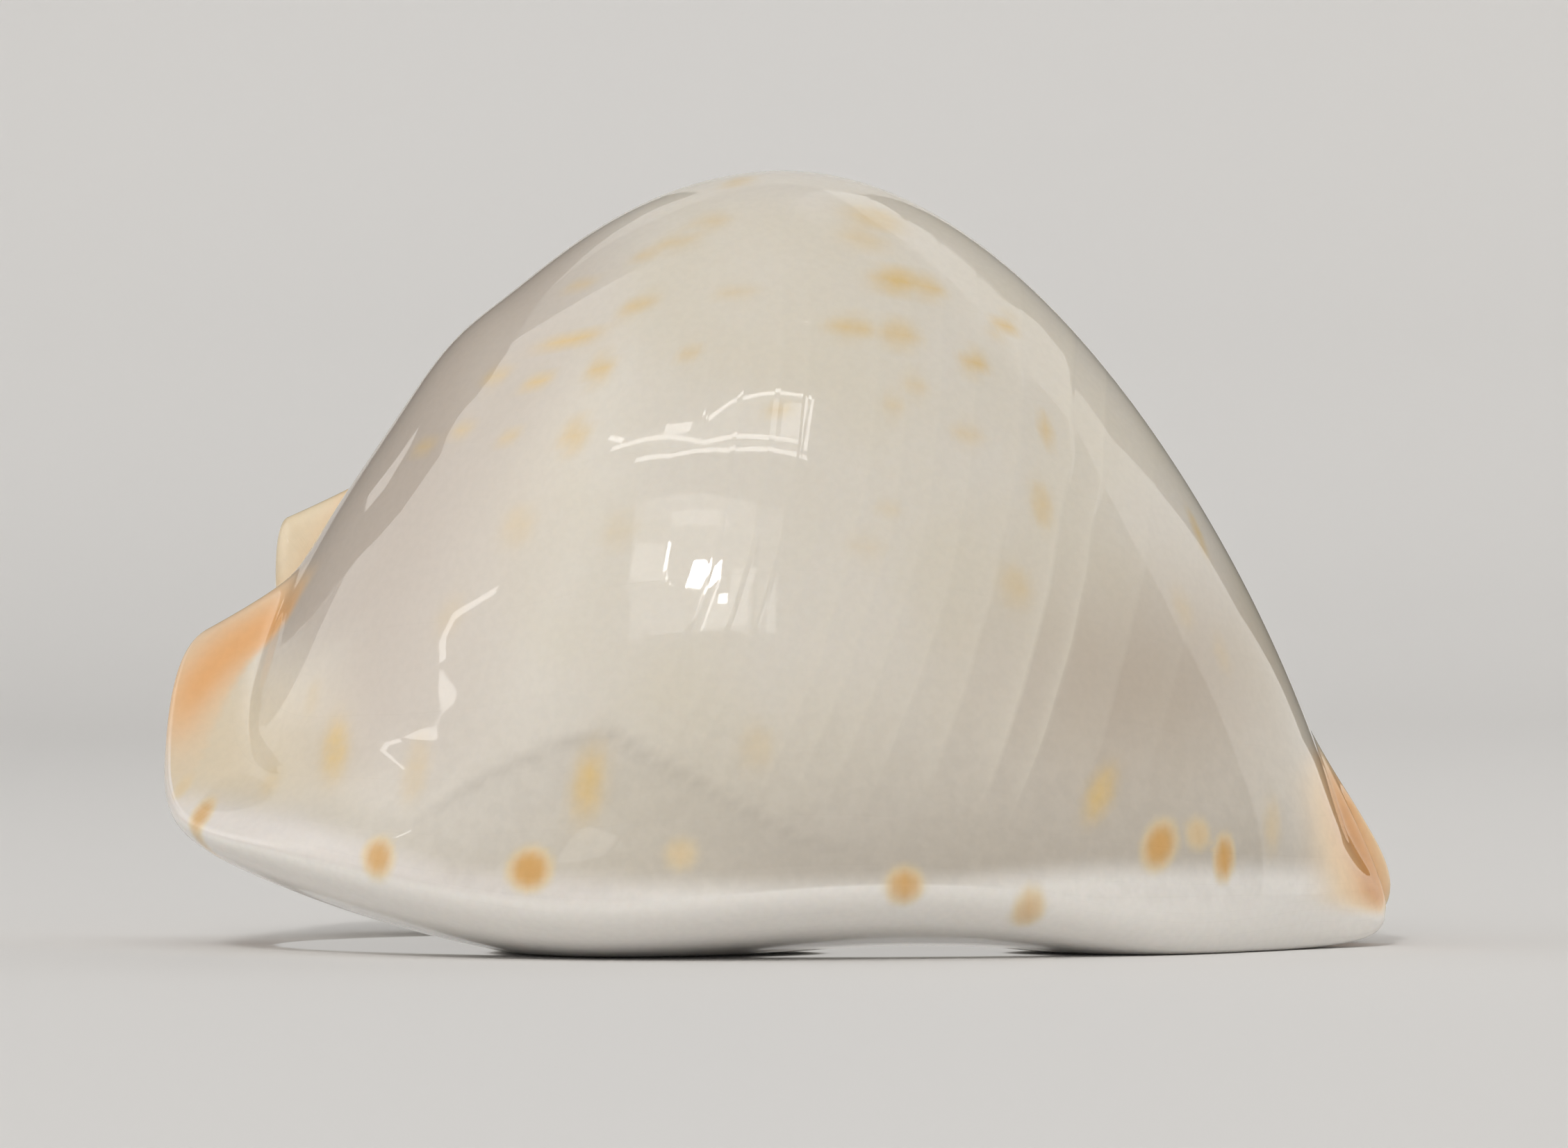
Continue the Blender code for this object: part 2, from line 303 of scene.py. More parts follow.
# Where each colour of the enamel, and each painted shade, highlight and reflection, lies, as shares
# from 0 to 1 kept on the mesh's points.
# A spot: how far along and how far up its middle shows from the side, its half width and half
# height measured on the surface, how far its top leans forward in degrees, and its strength.
DORSAL_SPOTS = (
    (0.599, 0.554, 0.022, 0.012, -25, 1.00), (0.622, 0.548, 0.016, 0.010, -25, 1.00),
    (0.599, 0.512, 0.016, 0.011, -12, 0.85), (0.562, 0.516, 0.018, 0.009, -8, 0.80),
    (0.659, 0.486, 0.013, 0.009, -38, 0.90), (0.684, 0.515, 0.017, 0.007, -48, 0.90),
    (0.355, 0.483, 0.011, 0.011, 0, 0.85), (0.304, 0.475, 0.013, 0.008, 22, 0.80),
    (0.337, 0.423, 0.012, 0.012, 10, 0.85), (0.719, 0.426, 0.006, 0.013, -8, 0.85),
    (0.713, 0.366, 0.009, 0.016, -10, 0.70), (0.844, 0.352, 0.006, 0.018, -30, 0.75),
    (0.140, 0.169, 0.012, 0.026, 0, 0.95), (0.349, 0.144, 0.012, 0.026, 8, 0.90),
    (0.766, 0.131, 0.010, 0.023, 28, 0.95), (0.332, 0.507, 0.030, 0.007, 22, 0.85),
    (0.387, 0.533, 0.016, 0.008, -12, 0.75), (0.272, 0.477, 0.012, 0.010, 30, 0.65),
    (0.283, 0.421, 0.010, 0.007, 24, 0.50), (0.655, 0.425, 0.013, 0.009, -10, 0.50),
    (0.245, 0.433, 0.011, 0.009, 30, 0.55), (0.213, 0.416, 0.014, 0.006, 50, 0.55),
    (0.289, 0.348, 0.014, 0.016, 0, 0.35), (0.695, 0.299, 0.013, 0.015, -15, 0.50),
    (0.500, 0.451, 0.010, 0.006, 0, 0.45), (0.430, 0.493, 0.008, 0.008, 0, 0.50),
    (0.206, 0.152, 0.010, 0.024, 6, 0.50), (0.482, 0.177, 0.012, 0.016, 0, 0.35),
    (0.470, 0.633, 0.014, 0.014, 0, 0.55), (0.580, 0.603, 0.024, 0.016, -20, 0.60),
    (0.446, 0.600, 0.016, 0.010, 12, 0.45), (0.418, 0.584, 0.018, 0.009, 20, 0.50),
    (0.572, 0.584, 0.020, 0.012, -8, 0.45), (0.394, 0.577, 0.012, 0.008, 20, 0.45),
    (0.340, 0.553, 0.014, 0.007, 25, 0.45), (0.467, 0.543, 0.016, 0.008, 6, 0.35),
    (0.613, 0.471, 0.010, 0.010, 0, 0.40), (0.597, 0.449, 0.008, 0.010, 0, 0.35),
    (0.372, 0.350, 0.012, 0.012, 0, 0.30), (0.576, 0.334, 0.014, 0.010, 0, 0.25),
    (0.232, 0.280, 0.012, 0.016, 20, 0.25), (0.121, 0.211, 0.008, 0.014, 12, 0.30),
    (0.089, 0.146, 0.009, 0.022, 8, 0.45), (0.830, 0.291, 0.010, 0.016, -20, 0.30),
    (0.861, 0.248, 0.008, 0.016, -20, 0.25), (0.904, 0.110, 0.009, 0.020, 4, 0.55),
    (0.590, 0.370, 0.010, 0.008, 0, 0.25),
)
BRIM_SPOTS = (
    (0.017, 0.141, 0.007, 0.014, 24, 0.50), (0.033, 0.117, 0.009, 0.019, 20, 0.85),
    (0.174, 0.083, 0.012, 0.016, -6, 0.90), (0.296, 0.074, 0.016, 0.016, 0, 1.00),
    (0.426, 0.082, 0.014, 0.014, 14, 0.45), (0.607, 0.060, 0.014, 0.014, 24, 0.85),
    (0.706, 0.041, 0.013, 0.018, 16, 0.65), (0.815, 0.096, 0.014, 0.021, 32, 0.95),
    (0.844, 0.099, 0.013, 0.014, 20, 0.55), (0.865, 0.083, 0.010, 0.018, 6, 0.95),
)
SPOT_FACING = 0.05  # how much the surface there faces the side, at the least
SPOT_DEPTH = 0.05  # how far off its plane a spot still shows
SPOT_FALL, SPOT_CRISP = 0.7, 1.5  # how fast it fades off, and how crisp its edge is
SPOTTED_UNDER = 0.6  # share of the underside, from the margin, that spots may reach
# The far side's spots are drawn at random between these bounds, lowest first
FAR_SEED = 12
FAR_SPOTS, FAR_BRIM_SPOTS = 58, 9
SPOT_GAP = 0.055
FAR_FROM, FAR_TO = (0.12, 0.12), (0.90, 0.66)  # along and up
FAR_WIDE, FAR_TALL = (0.008, 0.018), (0.008, 0.016)
FAR_LEAN, FAR_STRENGTH = (-30, 30), (0.25, 0.95)
FAR_BRIM_START, FAR_BRIM_SPAN, FAR_BRIM_UP = 0.10, 0.80, (0.065, 0.105)
FAR_BRIM_SIZE, FAR_BRIM_STRAY = (0.011, 0.016), (0.1, 0.9)
FAR_BRIM_LEAN, FAR_BRIM_STRENGTH = (-20, 20), (0.5, 1.0)

# The orange of the rear: a band along the outer lip's lobe, its half width towards the lobe's
# edge and towards the body, and that of its paler fringe
REAR_BAND = ((0.104, 0.292), (0.090, 0.272), (0.074, 0.256), (0.055, 0.244), (0.040, 0.231),
             (0.026, 0.214), (0.016, 0.196), (0.008, 0.172))
BAND_OUT, BAND_IN, FRINGE = 0.022, 0.018, 0.045
# The foot's cream is partly painted light, lifting the shade of the valley beside that lobe
FOOT_CREAM_LIGHT = 0.65  # how strong the cream is on the foot of that lobe
# The crease of the other lobe, which is orange too
FAR_CREASE = ((0.095, 0.278), (0.112, 0.290), (0.128, 0.312), (0.140, 0.335), (0.150, 0.360))
CREASE_WIDTH = 0.017
# The valley where the outer lip's lobe meets the body
REAR_VALLEY = ((0.036, 0.170), (0.048, 0.201), (0.056, 0.216), (0.067, 0.233), (0.081, 0.247),
               (0.098, 0.267), (0.110, 0.290), (0.150, 0.345), (0.165, 0.370))
VALLEY_SOFT = (-0.003, 0.004)
# The edge of the front canal, with a thin dark line along it, and the darkening of both canals:
# partly their own brown, partly painted shadow of the groove
CANAL_EDGE = ((0.938, 0.155), (0.948, 0.138), (0.955, 0.124), (0.963, 0.096), (0.973, 0.068),
              (0.980, 0.043), (0.985, 0.026))
CANAL_LINE, CANAL_GLOW = 0.010, 0.036
CANAL_DARK = 0.95
CANAL_RINGS = 8  # how many rings under the margin the line is drawn on
CANAL_DEPTH = 20  # and how many before the slit's edge the canals start to darken
# How high the white of the brim reaches, along the shell
BRIM_LINE = ((0.0, 0.135), (0.06, 0.119), (0.117, 0.109), (0.241, 0.070), (0.37, 0.063),
             (0.49, 0.060), (0.62, 0.062), (0.74, 0.071), (0.87, 0.069), (1.0, 0.060))
BRIM_SOFT = 0.013
# The upper edge of a painted dark reflection low on the flank
DARK_REFLECTION_EDGE = ((0.18, 0.095), (0.25, 0.139), (0.297, 0.164), (0.360, 0.185), (0.395, 0.164),
             (0.433, 0.144), (0.473, 0.121), (0.522, 0.096), (0.60, 0.080))
DARK_REFLECTION_BODY, DARK_REFLECTION_REACH, DARK_REFLECTION_RIM = 0.5, 0.05, 0.005
# Painted shade on the front flank, with its half height above and below; the worn patch
SHADE_MIDDLE, SHADE_HALF, SHADE_HEIGHTS = (0.78, 0.215), 0.13, (0.09, 0.095)
WORN_PATCH, WORN_HALF = (0.095, 0.155), (0.072, 0.035)
# The growth lines run round the body in rings about this place, off its rear end
GROWTH_HEART = (-0.25, 0.52)
GROWTH_LINES = ((0.672, 0.4), (0.70, 0.4), (0.728, 0.55), (0.756, 0.6), (0.777, 0.5),
                (0.805, 0.35), (0.834, 0.65), (0.859, 0.7), (0.884, 0.65), (0.913, 0.7),
                (0.949, 0.8), (0.993, 1.0), (1.020, 0.95), (1.065, 0.5), (1.11, 0.3))
GROWTH_FIRST, GROWTH_LAST = 0.64, 1.2
GROWTH_EDGE = 0.003  # half the width of a layer's edge, as a share of that span

count, columns = rings.shape[:2]
share = (rings + centre) / LENGTH
along, across, up = share[..., 0], share[..., 1], share[..., 2]
ring = np.arange(count)[:, None]
margin_ring = FINE[1] - 1
lip_ring = margin_ring + FINE[2]
around = np.roll(share, -1, axis=1) - np.roll(share, 1, axis=1)
down = np.gradient(share, axis=0)
facing = np.cross(around, down)
facing /= np.linalg.norm(facing, axis=-1, keepdims=True).clip(1e-12)
outside = ring <= margin_ring + SPOTTED_UNDER * FINE[2]

# Where each point shows from the camera's side, as shares along and up the shell's outline
SEEN_SCALE = 0.996
SEEN_MIDDLE = (0.506, 0.3137)
nearness = -EYE.y / (rings[..., 1] - EYE.y)
seen_along = SEEN_MIDDLE[0] + SEEN_SCALE * nearness * rings[..., 0] / LENGTH
seen_up = SEEN_MIDDLE[1] + SEEN_SCALE * nearness * (rings[..., 2] - EYE.z) / LENGTH


def spotted(spots, side):
    """A soft spot for each row, on the side of the shell that faces that way (-1 or 1)."""
    field = np.zeros((count, columns))
    seen = outside & (facing[..., 1] * side > SPOT_FACING)
    for forward, high, wide, tall, lean, strength in spots:
        off = (seen_along - forward) ** 2 + (seen_up - high) ** 2
        nearest = np.unravel_index(np.argmin(np.where(seen, off, 9)), off.shape)
        middle, normal = share[nearest], facing[nearest]
        lengthwise = unit(np.array((1, 0, 0)) - normal[0] * normal)
        upward = np.cross(normal, lengthwise)
        upward = upward * np.sign(upward[2])
        turn = math.radians(lean)
        gap = share - middle
        s, t = gap @ lengthwise, gap @ upward
        s, t = s * math.cos(turn) - t * math.sin(turn), s * math.sin(turn) + t * math.cos(turn)
        level = (s / wide) ** 2 + (t / tall) ** 2 + (gap @ normal / SPOT_DEPTH) ** 2
        spot = strength * np.exp(-SPOT_FALL * level**SPOT_CRISP)
        field = np.maximum(field, spot * outside)
    return field


def scattered(count_wanted, lows, highs, draw):
    """Places along and up, drawn at random, none nearer to another than the gap."""
    places = []
    while len(places) < count_wanted:
        place = draw.uniform(lows, highs)
        if all(np.linalg.norm(place - other) > SPOT_GAP for other in places):
            places.append(place)
    return places


def beside(line, along=along, up=up):
    """How far each point shows from a line drawn on the side, and which side of it (+ over)."""
    nearest = np.full(along.shape, 9.0)
    over = np.zeros(along.shape)
    for (x0, z0), (x1, z1) in zip(line, line[1:]):
        dx, dz = x1 - x0, z1 - z0
        reach = (((along - x0) * dx + (up - z0) * dz) / (dx * dx + dz * dz)).clip(0, 1)
        gap = np.hypot(along - x0 - reach * dx, up - z0 - reach * dz)
        side = np.sign((up - z0) * dx - (along - x0) * dz)
        over = np.where(gap < nearest, side, over)
        nearest = np.minimum(nearest, gap)
    return nearest, over


draw = np.random.default_rng(FAR_SEED)
far = []
for place in scattered(FAR_SPOTS, FAR_FROM, FAR_TO, draw):
    shape = [draw.uniform(*bounds) for bounds in (FAR_WIDE, FAR_TALL, FAR_LEAN, FAR_STRENGTH)]
    far.append((*place, *shape))
far_brim = []
for turn in range(FAR_BRIM_SPOTS):
    forward = (turn + draw.uniform(*FAR_BRIM_STRAY)) / FAR_BRIM_SPOTS
    forward = FAR_BRIM_START + FAR_BRIM_SPAN * forward
    high = draw.uniform(*FAR_BRIM_UP)
    lean, strength = draw.uniform(*FAR_BRIM_LEAN), draw.uniform(*FAR_BRIM_STRENGTH)
    far_brim.append((forward, high, *FAR_BRIM_SIZE, lean, strength))
spots = np.maximum(spotted(DORSAL_SPOTS, -1), spotted(far, 1))
brim_spots = np.maximum(spotted(BRIM_SPOTS, -1), spotted(far_brim, 1))

# How far each point lies along, across and up, over its margin and down into the slit, and how
# much it faces the rear and upwards
over = up - up[margin_ring][None, :]
back = ring <= margin_ring
measures = {"along": along, "across": across, "up": up, "over": over,
            "depth": ring / lip_ring + 0 * along, "inside": ring - lip_ring + 0 * along,
            "faces_rear": -facing[..., 0], "faces_up": facing[..., 2]}


def zone(**limits):
    """1 inside a zone and 0 outside it. For each measure that bounds the zone, it takes the
    place where the zone starts and the place from where it is full, with a soft edge between."""
    inside = np.ones(along.shape)
    for measure, (start, full) in limits.items():
        inside = inside * fade(measures[measure], start, full)
    return inside


def band(gap, width):
    """1 on a line, and fading off to both sides within about its width."""
    return np.exp(-((gap / width) ** 2))


# The white of the brim, with painted shade on its upper side towards the rear
height = up - np.interp(along, *zip(*BRIM_LINE))
callus = np.where(back, fade(height, BRIM_SOFT, -BRIM_SOFT), 1.0)
brim_painted_shade = zone(along=(0.5, 0.25), faces_up=(-0.3, 0.2))

# The orange of the outer lip's lobe and its paler fringe, as far as the valley
gap, side = beside(REAR_BAND)
valley, beyond = beside(REAR_VALLEY)
near_lobe = zone(along=(0.18, 0.14), across=(0.03, -0.02)) * fade(valley * beyond, *VALLEY_SOFT)
rear_orange = band(gap, np.where(side < 0, BAND_OUT, BAND_IN)) * near_lobe
rear_orange = rear_orange * zone(up=(0.145, 0.22)) * zone(up=(0.315, 0.26))
rear_peach = band(gap, FRINGE) * near_lobe * zone(up=(0.10, 0.21)) * zone(up=(0.32, 0.29))

# The cream of the other lobe and of the outer lip's foot, and the orange in their crease. On the
# foot the cream is partly painted light, lifting the shade of the valley beside it
crease, side = beside(FAR_CREASE)
far_peach = band(crease, CREASE_WIDTH) * zone(across=(0.01, 0.04))
far_lobe = zone(up=(0.13, 0.22), across=(0.0, 0.04), along=(0.20, 0.14), over=(0.05, 0.02))
near_foot_light = zone(along=(0.20, 0.04), across=(0.03, -0.02), up=(0.105, 0.145))
near_foot_light = near_foot_light * zone(up=(0.26, 0.19)) * (1 - spots) * back
cream_and_light = np.maximum(far_lobe, FOOT_CREAM_LIGHT * near_foot_light)

# The peach of the front end, the dark line in its canal, and the depths of both canals; the line
# and the depths are partly the canals' own brown and partly painted shadow
gap, side = beside(CANAL_EDGE)
tip = np.exp(-gap / CANAL_GLOW) * zone(along=(0.87, 0.95), up=(0.016, 0.045))
tip = tip * zone(up=(0.19, 0.11))
near_edge = zone(along=(0.90, 0.94), across=(0.01, -0.02), up=(0.024, 0.045))
near_edge = near_edge * (ring <= margin_ring + CANAL_RINGS)
canal_shadow_line = CANAL_DARK * band(gap, CANAL_LINE) * near_edge * (1 - 0.5 * zone(up=(0.10, 0.15)))
ends = np.maximum(zone(along=(0.93, 0.97)), zone(along=(0.14, 0.06)))
canal = np.maximum(canal_shadow_line, ends * zone(inside=(-CANAL_DEPTH, 0)))
throat = zone(depth=(0.88, 1.0))

# A painted dark reflection low on the flank, with a crisp upper edge, and paler below
gap, side = beside(DARK_REFLECTION_EDGE, seen_along, seen_up)
grey = np.where(side < 0, DARK_REFLECTION_BODY * np.exp(-gap / DARK_REFLECTION_REACH), 0)
grey = np.maximum(grey, band(gap, DARK_REFLECTION_RIM)) * (facing[..., 1] < 0)
grey = grey * zone(along=(0.18, 0.26)) * zone(along=(0.60, 0.50))

# The growth layers, and where they show
growth = np.hypot(along - GROWTH_HEART[0], up - GROWTH_HEART[1])
lined = zone(along=(0.30, 0.50), over=(0.04, 0.14)) * zone(along=(0.93, 0.80), up=(0.60, 0.46))

# Painted shade on the front flank, the greyer foot of the flank, painted shade on the side facing
# the rear, and the patch by the rear lobe that is worn less glossy
lift = up - SHADE_MIDDLE[1]
front_painted_shade = band(along - SHADE_MIDDLE[0], SHADE_HALF) * band(lift, np.where(lift > 0, *SHADE_HEIGHTS))
low_flank = blend(0.5, 1.0, fade(along, 0.25, 0.62))
low_spread = zone(up=(0.24, 0.12), along=(0.12, 0.2)) * back
# Painted shade on the side facing the rear, darker where less light reaches it
rear_painted_shade = zone(faces_rear=(0.35, 0.66), along=(0.02, 0.12), over=(0.0, 0.05))
rear_painted_shade = rear_painted_shade * np.maximum(zone(up=(0.18, 0.28)), zone(along=(0.08, 0.18)))
worn = band(along - WORN_PATCH[0], WORN_HALF[0]) * band(up - WORN_PATCH[1], WORN_HALF[1]) * back

FIELDS = {
    "spots": spots, "brim_spots": brim_spots, "callus": callus, "brim_painted_shade": brim_painted_shade,
    "rear_orange": rear_orange, "rear_peach": rear_peach, "cream_and_light": cream_and_light, "far_peach": far_peach,
    "tip": tip, "canal": canal, "throat": throat, "painted_dark_reflection": grey, "growth": growth,
    "lined": lined, "front_painted_shade": front_painted_shade, "low_flank": low_flank, "worn": worn,
    "low_spread": low_spread, "rear_painted_shade": rear_painted_shade, "descent": ring / margin_ring,
}
for name, values in FIELDS.items():  # one number a point, in the order of the mesh's points
    values = np.broadcast_to(values, (count, columns))
    flat = np.concatenate([values[:1, 0], values[1:-1].ravel(), values[-1:, 0]])
    field = shell.data.attributes.new(name, "FLOAT", "POINT")
    field.data.foreach_set("value", flat.astype(np.float32))


def fill(made, inputs):
    """Link the inputs of a shader node from sockets, or set them to values."""
    for name, value in dict(inputs).items():
        if isinstance(value, bpy.types.NodeSocket):
            made.id_data.links.new(value, made.inputs[name])
        else:
            made.inputs[name].default_value = value


def node_in(tree, kind, inputs=(), **settings):
    """A new shader node with its settings and its inputs."""
    made = tree.nodes.new("ShaderNode" + kind)
    for name, value in settings.items():
        setattr(made, name, value)
    fill(made, inputs)
    return made


glaze = bpy.data.materials.new("shell_glaze")
glaze.use_nodes = True
node = partial(node_in, glaze.node_tree)


def maths(operation, *values, make=node):
    return make("Math", dict(enumerate(values)), operation=operation).outputs[0]


def eased(value, start, full, low=0.0, high=1.0, make=node):
    """A smooth step from low to high as value goes from start to full."""
    inputs = {"Value": value, "From Min": start, "From Max": full, "To Min": low, "To Max": high}
    return make("MapRange", inputs, interpolation_type="SMOOTHSTEP").outputs["Result"]


def kept(name, strength=1.0):
    """A field kept on the mesh's points, times a strength."""
    return maths("MULTIPLY", node("Attribute", attribute_name=name).outputs["Fac"], strength)


def noise(vector, scale, detail):
    inputs = {"Vector": vector, "Scale": scale, "Detail": detail}
    return node("TexNoise", inputs).outputs["Fac"]


def growth_layers(place):
    """Each growth layer, from nothing at its start up to its strength at its outer edge."""
    inputs = {"Value": place, "From Min": GROWTH_FIRST, "From Max": GROWTH_LAST}
    ramp = node("ValToRGB", {"Fac": node("MapRange", inputs).outputs["Result"]})
    stops = ramp.color_ramp.elements
    for end in stops:
        end.color = (0, 0, 0, 1)
    for radius, strength in GROWTH_LINES:
        where = (radius - GROWTH_FIRST) / (GROWTH_LAST - GROWTH_FIRST)
        stops.new(where - GROWTH_EDGE).color = (strength, strength, strength, 1)
        stops.new(where + GROWTH_EDGE).color = (0, 0, 0, 1)
    return ramp.outputs["Color"]


def strands_of(place, pitch, randomness):
    """Uneven bands across a place: how far along its band each point is."""
    cell = node("TexVoronoi", {"W": place, "Scale": 1 / pitch, "Randomness": randomness},
                voronoi_dimensions="1D")
    offset = maths("SUBTRACT", place, cell.outputs["W"])
    return maths("DIVIDE", offset, pitch)


def tinted(under, over, share_of_over):
    """The colour over laid on the colour under, by its share. A Mix node has sockets of the
    same names for numbers and for colours, so these go by their places."""
    inputs = {0: share_of_over, 6: under, 7: over}
    return node("Mix", inputs, data_type="RGBA").outputs[2]


def stained(colour, *stains):
    """A colour with others laid over it in turn, each by its field and the field's strength."""
    for over, field, strength in stains:
        colour = tinted(colour, over, kept(field, strength))
    return colour


# Colours of the enamel, and of painted shade, highlight and reflection, as shares of light returned
# in red, green and blue, all opaque
CREAM = (0.755, 0.703, 0.60, 1)
PEARL = (0.77, 0.725, 0.65, 1)
LINE_HIGHLIGHT = (0.82, 0.765, 0.66, 1)
FLANK_GREY = (0.56, 0.51, 0.44, 1)
FLANK_PAINTED_SHADE = (0.50, 0.41, 0.32, 1)
REFLECTION_GREY = (0.46, 0.42, 0.365, 1)
REAR_PAINTED_SHADE = (0.60, 0.53, 0.465, 1)
BRIM_WHITE = (0.90, 0.87, 0.825, 1)
BRIM_PAINTED_SHADE = (0.79, 0.745, 0.705, 1)
OCHRE = (0.76, 0.57, 0.28, 1)
AMBER = (0.72, 0.40, 0.12, 1)
HALO = (0.82, 0.66, 0.40, 1)
PEACH = (0.84, 0.66, 0.46, 1)
ORANGE = (0.86, 0.46, 0.19, 1)
LOBE_CREAM = (0.80, 0.67, 0.47, 1)
CANAL_BROWN_SHADOW = (0.66, 0.31, 0.10, 1)
TIP_PEACH = (0.93, 0.73, 0.49, 1)
THROAT_PEACH = (0.78, 0.50, 0.28, 1)

# Noise over the enamel: how fine it is, in grains a metre, and how much finer detail it has
CLOUD, MOTTLE, WEAVE, BLOTCH = (90, 2.0), (700, 3.0), (2600, 2.0), (1100, 2.0)
DRIFT, WAVES = (160, 1.0), (230, 1.0)
DRIFT_REACH = 0.012  # how far it shifts the growth layers and the strands
LINE_POWER = 5.0  # how much finer the lines at the layers' edges are than the layers
STRAND_PITCH, STRAND_UNEVEN = 0.045, 0.9

place = node("TexCoord").outputs["Object"]
cloud, mottle, weave = noise(place, *CLOUD), noise(place, *MOTTLE), noise(place, *WEAVE)
drift = maths("MULTIPLY", noise(place, *DRIFT), DRIFT_REACH)
lined, descent = kept("lined"), kept("descent")
layer = growth_layers(maths("ADD", kept("growth"), drift))
strand = strands_of(maths("ADD", descent, drift), STRAND_PITCH, STRAND_UNEVEN)

# The body: cream clouded with pearl, greyer low on the flank, painted shade on the front flank and
# the rear, growth layers painted lighter across each up to a painted highlight at its edge, and a
# painted dark reflection low on the flank
colour = tinted(CREAM, PEARL, eased(cloud, 0.35, 0.65))
low = maths("MULTIPLY", eased(descent, 0.64, 0.93, 0.0, 0.95), kept("low_flank"))
colour = tinted(colour, FLANK_GREY, low)
# Painted shade on the front flank and on the side facing the rear
colour = stained(colour, (FLANK_PAINTED_SHADE, "front_painted_shade", 0.7), (REAR_PAINTED_SHADE, "rear_painted_shade", 1.0))
# Painted light over each growth layer, and a painted highlight along its edge
for edge, strength in ((layer, 0.35), (maths("POWER", layer, LINE_POWER), 0.5)):
    pale = maths("MULTIPLY", maths("MULTIPLY", edge, lined), strength)
    colour = tinted(colour, LINE_HIGHLIGHT, pale)
# A painted dark reflection low on the flank
colour = stained(colour, (REFLECTION_GREY, "painted_dark_reflection", 0.42))
spot = maths("MULTIPLY", kept("spots"), eased(mottle, 0.2, 0.7, 0.65, 1.1))
colour = tinted(colour, OCHRE, spot)

# The brim with its haloed spots, then both ends
# The brim's white, darkened by painted shade on its upper side towards the rear
brim = stained(BRIM_WHITE, (BRIM_PAINTED_SHADE, "brim_painted_shade", 1.0))
colour = tinted(colour, brim, kept("callus"))
colour = tinted(colour, HALO, eased(kept("brim_spots"), 0.05, 0.5, 0.0, 0.7))
colour = tinted(colour, AMBER, eased(kept("brim_spots"), 0.3, 1.0, 0.0, 0.9))
# The lobes' cream is partly painted light on the outer lip's foot
colour = stained(colour, (LOBE_CREAM, "cream_and_light", 1.0), (ORANGE, "far_peach", 0.65),
                 (PEACH, "rear_peach", 1.0), (ORANGE, "rear_orange", 0.9))
colour = tinted(colour, TIP_PEACH, eased(kept("tip"), 0.05, 0.55, 0.0, 0.95))
colour = tinted(colour, ORANGE, eased(kept("tip"), 0.35, 0.95, 0.0, 0.75))
# The canals' brown is partly painted shadow of the groove
colour = stained(colour, (THROAT_PEACH, "throat", 1.0), (CANAL_BROWN_SHADOW, "canal", 0.8))

# A faint weave all over, and faint blotches low on the flank
grain = eased(weave, 0.3, 0.7, 0.985, 1.012)
blotch = eased(noise(place, *BLOTCH), 0.38, 0.62, 0.98, 1.014)
blotch = node("Mix", {0: kept("low_spread"), 2: 1.0, 3: blotch}).outputs[0]
grain = maths("MULTIPLY", grain, blotch)
colour = node("VectorMath", {0: colour, 1: grain}, operation="MULTIPLY").outputs[0]

# Relief of the enamel in thousandths of a millimetre: growth layers, lengthwise strands, waves
MICRON = 1e-6
LAYER_STEP, STRAND_STEP, WAVE_STEP, GRAIN_STEP = 14.0, 2.0, 9.0, 0.3
steps = maths("MULTIPLY", maths("MULTIPLY", layer, eased(lined, 0.0, 1.0, 0.3, 1.0)), LAYER_STEP)
strands = maths("MULTIPLY", strand, STRAND_STEP)
waves = maths("MULTIPLY", noise(place, *WAVES), WAVE_STEP)
grains = maths("MULTIPLY", weave, GRAIN_STEP)
relief = maths("ADD", maths("ADD", steps, strands), maths("ADD", waves, grains))
bump = node("Bump", {"Height": relief, "Distance": MICRON, "Strength": 1.0})

fill(glaze.node_tree.nodes["Principled BSDF"], {
    "Base Color": colour, "Normal": bump.outputs["Normal"], "IOR": 1.52,
    "Roughness": eased(mottle, 0.3, 0.7, 0.014, 0.035),
    "Specular IOR Level": eased(kept("worn"), 0.1, 0.8, 0.5, 0.15),
    "Subsurface Weight": 0.2, "Subsurface Radius": (1.0, 0.8, 0.6), "Subsurface Scale": 0.0012,
})
shell.data.materials.append(glaze)

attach(shell, "root")
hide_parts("shell")

# ---------------------------------------------------------------------------- the sweep
# A pale board under the shell that curves up behind it, as one sheet. It is clear from
# below, so that the underside of the shell can be looked at.
SWEEP = ((-3.0, 0.0), (0.62, 0.0), (0.70, 0.012), (0.76, 0.05), (0.79, 0.12), (0.80, 0.25),
         (0.80, 0.80))
SWEEP_HALF = 1.7  # half its width
SWEEP_SINK = 2e-5  # how far it lies under the shell
BOARD = {"Base Color": (0.82, 0.815, 0.81, 1), "Roughness": 0.9, "Specular IOR Level": 0.1}

sweep_mesh = bpy.data.meshes.new("floor")
corners = [(side * SWEEP_HALF, y, z - SWEEP_SINK) for y, z in SWEEP for side in (-1, 1)]
faces = [(2 * i, 2 * i + 1, 2 * i + 3, 2 * i + 2) for i in range(len(SWEEP) - 1)]
sweep_mesh.from_pydata(corners, [], faces)
sweep_mesh.shade_smooth()
floor = placed("floor", sweep_mesh)
board = bpy.data.materials.new("pale_board")
board.use_nodes = True
paper = board.node_tree.nodes["Principled BSDF"]
fill(paper, BOARD)
part = partial(node_in, board.node_tree)
below = part("NewGeometry").outputs["Backfacing"]
clear = part("BsdfTransparent").outputs["BSDF"]
either = part("MixShader", {0: below, 1: paper.outputs["BSDF"], 2: clear}).outputs["Shader"]
fill(board.node_tree.nodes["Material Output"], {"Surface": either})
floor.data.materials.append(board)

